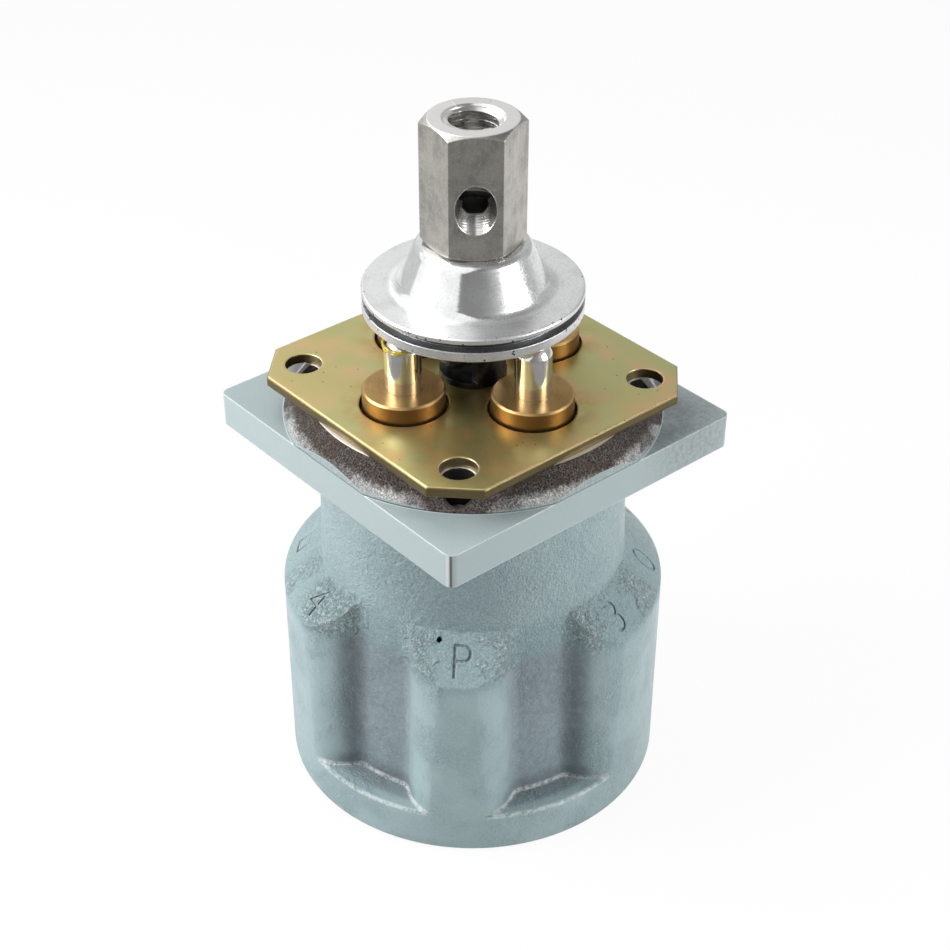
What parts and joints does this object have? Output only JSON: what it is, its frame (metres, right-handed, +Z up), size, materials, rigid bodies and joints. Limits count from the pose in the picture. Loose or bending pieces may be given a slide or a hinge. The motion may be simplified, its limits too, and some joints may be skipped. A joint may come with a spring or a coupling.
{
  "type": "pilot control valve",
  "caption": "Hydraulic joystick pilot valve: round cast base with bottom ports, square mounting flange, push rods under a tilting swash disc, and a hexagonal lever socket.",
  "frame": {"origin": "centre of the round base's underside", "axes": "+Z up along the valve's axis; the plungers stand on X and Y, the flange's sides run along X and Y, and port P faces the corner at +X, -Y"},
  "size_m": [0.1, 0.1, 0.1848],
  "materials": {
    "casing_enamel": "pale blue-grey enamel over sand casting",
    "yellow_zinc": "zinc plated and yellow passivated",
    "bronze": "turned bronze",
    "polished_steel": "ground and polished",
    "plated_disc": "bright zinc plated",
    "machined_steel": "machined hexagon bar",
    "black_oxide": "black oxide, oiled",
    "spring_steel": "oil-tempered wire",
    "seal_rubber": "moulded nitrile rubber"
  },
  "bodies": {
    "casing": {"valve_casing": "casing_enamel", "retaining_plate": "yellow_zinc", "joint_base": "black_oxide", "guide_bush_1": "bronze", "bush_o_ring_1": "seal_rubber", "rod_seal_1": "seal_rubber", "return_spring_1": "spring_steel", "guide_bush_2": "bronze", "bush_o_ring_2": "seal_rubber", "rod_seal_2": "seal_rubber", "return_spring_2": "spring_steel", "guide_bush_3": "bronze", "bush_o_ring_3": "seal_rubber", "rod_seal_3": "seal_rubber", "return_spring_3": "spring_steel", "guide_bush_4": "bronze", "bush_o_ring_4": "seal_rubber", "rod_seal_4": "seal_rubber", "return_spring_4": "spring_steel"},
    "lower_pins": {"lower_pin_1": "polished_steel", "lower_pin_2": "polished_steel"},
    "cross_block": {"joint_block": "black_oxide"},
    "upper_pins": {"upper_pin_1": "polished_steel", "upper_pin_2": "polished_steel"},
    "lever": {"lever_yoke": "black_oxide", "swash_disc": "plated_disc", "lever_nut": "machined_steel"},
    "plunger_1": {"push_rod_1": "polished_steel", "spring_seat_1": "polished_steel"},
    "spool_set_1": {"spool_1": "polished_steel", "spool_washer_1": "polished_steel", "metering_spring_1": "spring_steel"},
    "plunger_2": {"push_rod_2": "polished_steel", "spring_seat_2": "polished_steel"},
    "spool_set_2": {"spool_2": "polished_steel", "spool_washer_2": "polished_steel", "metering_spring_2": "spring_steel"},
    "plunger_3": {"push_rod_3": "polished_steel", "spring_seat_3": "polished_steel"},
    "spool_set_3": {"spool_3": "polished_steel", "spool_washer_3": "polished_steel", "metering_spring_3": "spring_steel"},
    "plunger_4": {"push_rod_4": "polished_steel", "spring_seat_4": "polished_steel"},
    "spool_set_4": {"spool_4": "polished_steel", "spool_washer_4": "polished_steel", "metering_spring_4": "spring_steel"}
  },
  "joints": [
    {"name": "tilt_towards_port_4", "type": "hinge", "parent": "casing", "child": "lower_pins", "pos_m": [0, 0, 0.1262], "axis": [1, 0, 0], "range_deg": [0, 19], "stiffness_Nm_per_rad": 3},
    {"name": "tilt_towards_port_1", "type": "hinge", "parent": "lower_pins", "child": "cross_block", "pos_m": [0, 0, 0.1262], "axis": [1, 0, 0], "range_deg": [-19, 0], "stiffness_Nm_per_rad": 3},
    {"name": "tilt_towards_port_3", "type": "hinge", "parent": "cross_block", "child": "upper_pins", "pos_m": [0, 0, 0.1262], "axis": [0, 1, 0], "range_deg": [0, 19], "stiffness_Nm_per_rad": 3},
    {"name": "tilt_towards_port_2", "type": "hinge", "parent": "upper_pins", "child": "lever", "pos_m": [0, 0, 0.1262], "axis": [0, 1, 0], "range_deg": [-19, 0], "stiffness_Nm_per_rad": 3},
    {"name": "plunger_1_travel", "type": "slide", "parent": "casing", "child": "plunger_1", "axis": [0, 0, 1], "range_m": [-0.0077, 0], "deforming": ["return_spring_1", "metering_spring_1"]},
    {"name": "spool_1_travel", "type": "slide", "parent": "casing", "child": "spool_set_1", "axis": [0, 0, 1], "range_m": [-0.002, 0]},
    {"name": "plunger_2_travel", "type": "slide", "parent": "casing", "child": "plunger_2", "axis": [0, 0, 1], "range_m": [-0.0077, 0], "deforming": ["return_spring_2", "metering_spring_2"]},
    {"name": "spool_2_travel", "type": "slide", "parent": "casing", "child": "spool_set_2", "axis": [0, 0, 1], "range_m": [-0.002, 0]},
    {"name": "plunger_3_travel", "type": "slide", "parent": "casing", "child": "plunger_3", "axis": [0, 0, 1], "range_m": [-0.0077, 0], "deforming": ["return_spring_3", "metering_spring_3"]},
    {"name": "spool_3_travel", "type": "slide", "parent": "casing", "child": "spool_set_3", "axis": [0, 0, 1], "range_m": [-0.002, 0]},
    {"name": "plunger_4_travel", "type": "slide", "parent": "casing", "child": "plunger_4", "axis": [0, 0, 1], "range_m": [-0.0077, 0], "deforming": ["return_spring_4", "metering_spring_4"]},
    {"name": "spool_4_travel", "type": "slide", "parent": "casing", "child": "spool_set_4", "axis": [0, 0, 1], "range_m": [-0.002, 0]}
  ],
  "couplings": [
    {"joint": "plunger_1_travel", "follows": "tilt_towards_port_1", "m_per_rad": 0.0229},
    {"joint": "spool_1_travel", "follows": "tilt_towards_port_1", "m_per_rad": 0.005725},
    {"joint": "plunger_2_travel", "follows": "tilt_towards_port_2", "m_per_rad": 0.0229},
    {"joint": "spool_2_travel", "follows": "tilt_towards_port_2", "m_per_rad": 0.005725},
    {"joint": "plunger_3_travel", "follows": "tilt_towards_port_3", "m_per_rad": -0.0229},
    {"joint": "spool_3_travel", "follows": "tilt_towards_port_3", "m_per_rad": -0.005725},
    {"joint": "plunger_4_travel", "follows": "tilt_towards_port_4", "m_per_rad": -0.0229},
    {"joint": "spool_4_travel", "follows": "tilt_towards_port_4", "m_per_rad": -0.005725}
  ]
}
